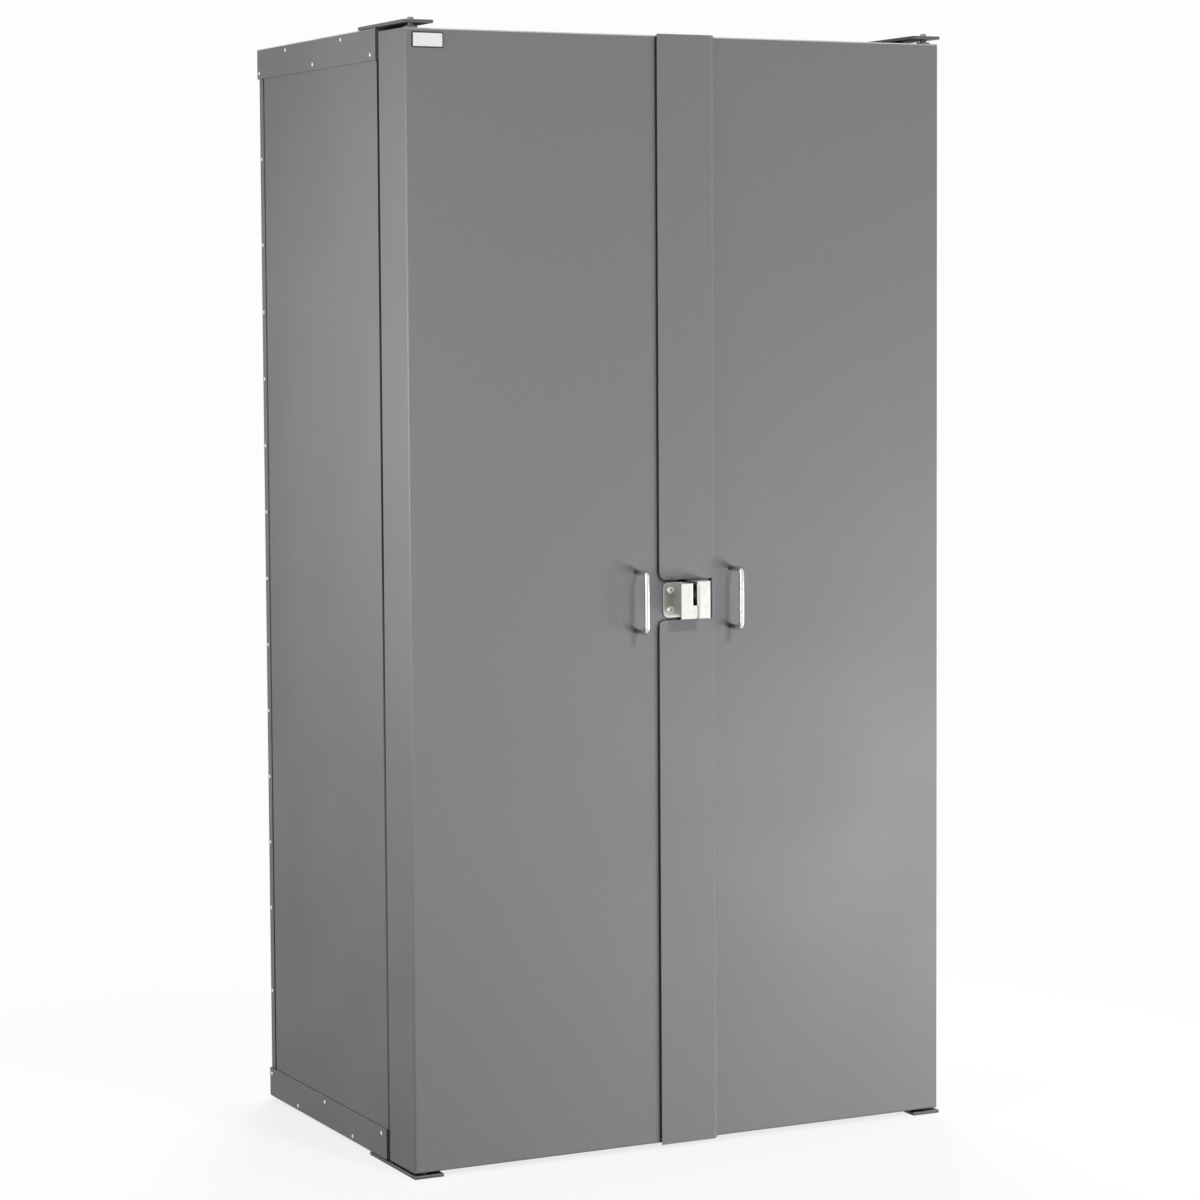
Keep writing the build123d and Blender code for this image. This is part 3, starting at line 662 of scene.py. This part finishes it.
def rivet_shape():
    """A blind rivet's head: rim, dome, and the pit that holds the stem's broken end."""
    outline = [(0, 0), (rivet_radius, 0)]
    outline += dome(rivet_radius, rivet_rise - rivet_rim, 7, rivet_rim)[:6]
    outline += [(stem_radius + 0.15, rivet_rise), (stem_radius, rivet_rise - 0.1)]
    outline += [(stem_radius, rivet_rise - stem_depth), (0.3, rivet_rise - stem_depth + 0.1)]
    outline += [(0, rivet_rise - stem_depth + 0.15)]
    return spin(outline)


def rivet_places(node, direction):
    """Where each rivet of a node sits on its sheet, and which way it faces."""
    out = Vector(direction)
    places = []
    for low, high in lumps(node):
        middle = (low + high) / 2
        half_height = (high - low).dot(Vector([abs(v) for v in direction])) / 2
        places.append((middle - out * half_height, direction))
    return places


rivet_groups = {
    "rivets_side_left": ((-1, 0, 0), "carcass"),
    "rivets_side_right": ((1, 0, 0), "carcass"),
    "rivets_back": ((0, 1, 0), "carcass"),
    "liner_rivets_left": ((0, 1, 0), "door_left"),
    "liner_rivets_right": ((0, 1, 0), "door_right"),
}
for node, (direction, body) in rivet_groups.items():
    places = rivet_places(node, direction)
    group = set_copies(node + "_heads", rivet_shape(), places, drawn_aluminium, body)
    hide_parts(node)
    print(node, len(places), "rivets")

# %% [markdown]
# ## Wire pulls
# Each pull is one length of round bar, bent at both ends and screwed on from inside the
# door. A sweep gives it: a ring of points carried along a path of two short legs, two tight
# bends and a long grip. The path comes from the box of the solid it stands for, so pull and
# screws stay in line.

# %% Sweep the pulls
bar_radius = 4.25         # millimetres
pull_bend_radius = 8.0    # of the bar's middle line
bend_steps = 10
ring_steps = 28


def pull_path(low, high):
    """Points along a pull's middle line, and the direction of travel at each."""
    x = (low.x + high.x) / 2
    r, bend = bar_radius * MM, pull_bend_radius * MM
    seat, out = high.y, low.y + r
    bottom, top = low.z + r, high.z - r
    path = [(Vector((x, seat, bottom)), Vector((0, -1, 0)))]
    for step in range(bend_steps + 1):
        a = math.pi / 2 * step / bend_steps
        path.append((Vector((x, out + bend * (1 - math.sin(a)), bottom + bend * (1 - math.cos(a)))),
                     Vector((0, -math.cos(a), math.sin(a)))))
    for step in range(bend_steps + 1):
        a = math.pi / 2 * step / bend_steps
        path.append((Vector((x, out + bend * (1 - math.cos(a)), top - bend * (1 - math.sin(a)))),
                     Vector((0, math.sin(a), math.cos(a)))))
    path.append((Vector((x, seat, top)), Vector((0, 1, 0))))
    return path


def sweep_round(path, radius, sideways=Vector((1, 0, 0))):
    """Points and faces of a round bar along a path, closed at both ends."""
    points, faces = [], []
    for place, way in path:
        across = way.cross(sideways)
        for step in range(ring_steps):
            angle = 2 * math.pi * step / ring_steps
            points.append(place + radius * (math.cos(angle) * sideways + math.sin(angle) * across))
    for ring in range(len(path) - 1):
        for step in range(ring_steps):
            after = (step + 1) % ring_steps
            a, b = ring * ring_steps, (ring + 1) * ring_steps
            faces.append([a + step, b + step, b + after, a + after])
    faces.append(list(range(ring_steps)))
    last = (len(path) - 1) * ring_steps
    faces.append([last + step for step in reversed(range(ring_steps))])
    return points, faces


for side in ("left", "right"):
    node = "door_pull_" + side
    low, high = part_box(node)
    points, faces = sweep_round(pull_path(low, high), bar_radius * MM)
    pull = add_piece("wire_pull_" + side, points, faces, chrome_plate, "door_" + side)
    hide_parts(node)
    print("pull", side, "stands", round((high.y - low.y) / MM, 1), "mm off the door")

# %% [markdown]
# ## Hasp bolts and nuts
# Two button-headed bolts hold each hasp bracket, with a socket for a key in the middle of
# the head. Inside the door each ends in a hexagon nut. The head is a spun outline with a
# rounded shoulder; the socket is a six-sided pit cut into its top.

# %% Turn the hasp bolts
bolt_head_radius = 6.5    # millimetres
bolt_rise = 4.4
bolt_rim = 0.6            # height of the head's upright rim
bolt_shank_radius = 4.0
socket_radius = 2.6
socket_depth = 2.0


def bolt_shape(shank_length):
    """A button-headed bolt: shank below its seat, head above it, hexagon socket in the top."""
    outline = [(0, -shank_length), (bolt_shank_radius - 0.6, -shank_length)]
    outline += [(bolt_shank_radius, -shank_length + 0.6), (bolt_shank_radius, 0)]
    outline += [(bolt_head_radius, 0)]
    outline += dome(bolt_head_radius, bolt_rise - bolt_rim, 9, bolt_rim)[:7]
    outline += [(socket_radius + 0.5, bolt_rise), (socket_radius, bolt_rise - 0.15)]
    outline += [(socket_radius, bolt_rise - socket_depth), (0, bolt_rise - socket_depth - 0.4)]
    points, faces = spin(outline, 36)
    for point in points:
        radius = math.hypot(point.x, point.y)
        if abs(radius - socket_radius) < 0.01:
            turn = math.atan2(point.y, point.x) % (math.pi / 3) - math.pi / 6
            flat = socket_radius * math.cos(math.pi / 6) / math.cos(turn)
            point.x *= flat / radius
            point.y *= flat / radius
    return points, faces


for side in ("left", "right"):
    node = "hasp_bolts_" + side
    places = []
    for low, high in lumps(node):
        middle = (low + high) / 2
        seat = Vector((middle.x, low.y + bolt_rise * MM, middle.z))
        places.append((seat, (0, -1, 0)))
    shank_length = (high.y - low.y) / MM - bolt_rise
    bolts = set_copies("hasp_bolt_set_" + side, bolt_shape(shank_length), places,
                       zinc_plate, "door_" + side)
    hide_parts(node)
    print("bolts", side, len(places), "with shanks of", round(shank_length, 1), "mm")

# %% [markdown]
# ## The blank name plate
# A small plate sits in the top corner of the left door. It is a stiff white plate, and here
# it stays blank, with only a thin printed frame. Its sides are near-black, which paints the
# shade along its thin edges. Its corners are rounded, and its face is a hair above its dark body.

# %% Make the name plate
plate_left = -474.0       # the plate's box in the model's frame, in millimetres
plate_right = -421.0
plate_low = 1786.0
plate_high = 1810.0
plate_gauge = 1.8
plate_corner = 1.5        # radius of its corners
plate_edge = 0.35         # slope between the face and the body
outline_width = 1.6


def rounded_outline(x0, x1, z0, z1, radius, steps=5):
    """Corners of a rounded rectangle, anticlockwise as seen from the doors' front."""
    corners = [(x1 - radius, z0 + radius, -90), (x1 - radius, z1 - radius, 0),
               (x0 + radius, z1 - radius, 90), (x0 + radius, z0 + radius, 180)]
    outline = []
    for x, z, start in corners:
        for step in range(steps + 1):
            angle = math.radians(start + 90 * step / steps)
            outline.append((x + radius * math.cos(angle), z + radius * math.sin(angle)))
    return outline


def make_name_plate():
    """A blank plate: dark body, white face and a thin frame line, on the left door."""
    door_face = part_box("door_pan_left")[0].y / MM
    front_y = door_face - plate_gauge
    body = rounded_outline(plate_left, plate_right, plate_low, plate_high, plate_corner)
    face = rounded_outline(plate_left + plate_edge, plate_right - plate_edge,
                           plate_low + plate_edge, plate_high - plate_edge,
                           plate_corner - plate_edge)
    count = len(body)
    points = [Vector((x, door_face, z)) * MM for x, z in body]
    points += [Vector((x, front_y + plate_edge, z)) * MM for x, z in body]
    points += [Vector((x, front_y, z)) * MM for x, z in face]
    faces = [list(reversed(range(count)))]
    for low in (0, count):
        for step in range(count):
            after = (step + 1) % count
            faces.append([low + step, low + after, low + count + after, low + count + step])
    faces.append(list(range(2 * count, 3 * count)))
    return points, faces


def enamel_face(name):
    """White enamel with a thin dark outline, drawn from the plate's own sizes."""
    material, tree = new_material(name)
    place = add(tree, "ShaderNodeTexCoord").outputs["Object"]
    apart = add(tree, "ShaderNodeSeparateXYZ", links={0: place})
    middle_x = (plate_left + plate_right) / 2 * MM
    middle_z = (plate_low + plate_high) / 2 * MM
    inside = []
    for axis, middle, half in (("X", middle_x, (plate_right - plate_left) / 2),
                               ("Z", middle_z, (plate_high - plate_low) / 2)):
        from_middle = add(tree, "ShaderNodeMath", {1: middle}, {0: apart.outputs[axis]},
                          operation="SUBTRACT")
        off = add(tree, "ShaderNodeMath", links={0: from_middle.outputs[0]}, operation="ABSOLUTE")
        inside.append(add(tree, "ShaderNodeMath", {1: half * MM}, {0: off.outputs[0]},
                          operation="SUBTRACT").outputs[0])
    line = add(tree, "ShaderNodeMath", {1: -outline_width * MM},
               {0: highest(tree, inside[0], inside[1])}, operation="GREATER_THAN")
    scuffs = add(tree, "ShaderNodeTexNoise", {"Scale": waves_per_metre(4.0), "Detail": 3.0},
                 {"Vector": place})
    white = add(tree, "ShaderNodeMix", {"A": linear("#F0EFEC"), "B": linear("#FAF9F7")},
                {"Factor": scuffs.outputs["Fac"]}, data_type="RGBA")
    colour = add(tree, "ShaderNodeMix", {"B": linear("#2B2627")}, {
        "Factor": line.outputs[0], "A": white.outputs[2]}, data_type="RGBA")
    shader = add(tree, "ShaderNodeBsdfPrincipled", {"IOR": 1.5, "Roughness": 0.3},
                 {"Base Color": colour.outputs[2]})
    finish_surface(tree, shader)
    return material


def shaded_plate_sides(name):
    """The plate's near-black sides, painted shade along its thin edges, with a saw's fine grain."""
    material, tree = new_material(name)
    place = add(tree, "ShaderNodeTexCoord").outputs["Object"]
    grain = add(tree, "ShaderNodeTexNoise", {"Scale": waves_per_metre(0.8)}, {"Vector": place})
    tone = add(tree, "ShaderNodeMix", {"A": linear("#141414"), "B": linear("#262524")},
               {"Factor": grain.outputs["Fac"]}, data_type="RGBA")
    shader = add(tree, "ShaderNodeBsdfPrincipled", {"IOR": 1.5, "Roughness": 0.5},
                 {"Base Color": tone.outputs[2]})
    finish_surface(tree, shader)
    return material


points, faces = make_name_plate()
# The plate's near-black sides paint the shade along its thin edges.
name_plate = add_piece("blank_name_plate", points, faces,
                       shaded_plate_sides("near_black_plate_sides"), "door_left", smooth=False)
name_plate.data.materials.append(enamel_face("white_laminate_face"))
name_plate.data.polygons[-1].material_index = 1
print("name plate is", plate_right - plate_left, "by", plate_high - plate_low, "mm")

# %% [markdown]
# ## Welds at the hinge plates
# Each hinge plate is welded to its cap along its sides. A weld is a bead laid in small
# overlapping ripples, about 4 mm wide and a millimetre and a half high. A chain of ripples
# along each seam gives it: the bead's half-round section swells and shrinks along its length.

# %% Lay the weld beads
bead_radius = 2.2         # millimetres
ripple_pitch = 2.4
bead_sections = 10        # flats round a bead
bead_start = 8.0          # side bead to the front of the cap
rear_bead_ends = (6.0, 8.0)   # rear bead to the plate's two sides, in order along X


def bead(start, end, out, lift):
    """Points and faces of a rippled bead between two points, bulging along out and lift."""
    length = (end - start).length
    count = max(4, int(length / (ripple_pitch * MM) * 3))
    points, faces = [], []
    for n in range(count + 1):
        along = n / count
        swell = 0.82 + 0.18 * abs(math.sin(math.pi * length * along / (ripple_pitch * MM)))
        if n in (0, count):
            swell *= 0.35
        for k in range(bead_sections):
            angle = 2 * math.pi * k / bead_sections
            offset = math.cos(angle) * out + math.sin(angle) * lift
            points.append(start.lerp(end, along) + bead_radius * MM * swell * offset)
    for n in range(count):
        for k in range(bead_sections):
            after = (k + 1) % bead_sections
            a, b = n * bead_sections, (n + 1) * bead_sections
            faces.append([a + k, a + after, b + after, b + k])
    faces.append(list(reversed(range(bead_sections))))
    last = count * bead_sections
    faces.append([last + k for k in range(bead_sections)])
    return points, faces


def plate_beads(plate, cap):
    """Beads along the inner side of a hinge plate and across its rear end, on the cap."""
    low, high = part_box(plate)
    cap_low, cap_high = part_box(cap)
    upper = plate.startswith("hinge_plate_top")
    z = cap_high.z if upper else cap_low.z
    lift = Vector((0, 0, 1 if upper else -1))
    right_hand = low.x > 0
    inner_x = low.x if right_hand else high.x
    inward = Vector((-1 if right_hand else 1, 0, 0))
    start_y = cap_low.y + bead_start * MM
    side = bead(Vector((inner_x, start_y, z)), Vector((inner_x, high.y, z)), inward, lift)
    rear = bead(Vector((low.x + rear_bead_ends[0] * MM, high.y, z)),
                Vector((high.x - rear_bead_ends[1] * MM, high.y, z)), Vector((0, 1, 0)), lift)
    points = side[0] + rear[0]
    faces = side[1] + [[len(side[0]) + corner for corner in face] for face in rear[1]]
    return points, faces


for level, cap in (("top", "top_cap"), ("bottom", "bottom_cap")):
    for side in ("left", "right"):
        points, faces = plate_beads(f"hinge_plate_{level}_{side}", cap)
        beads = add_piece(f"weld_beads_{level}_{side}", points, faces, coat_grey, "carcass")
print("laid four pairs of beads")

# %% [markdown]
# ## Measure the size
# The dressed cabinet must be exactly as big as the model it dresses; its box is measured here.

# %% Measure the dressed cabinet
low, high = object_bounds()
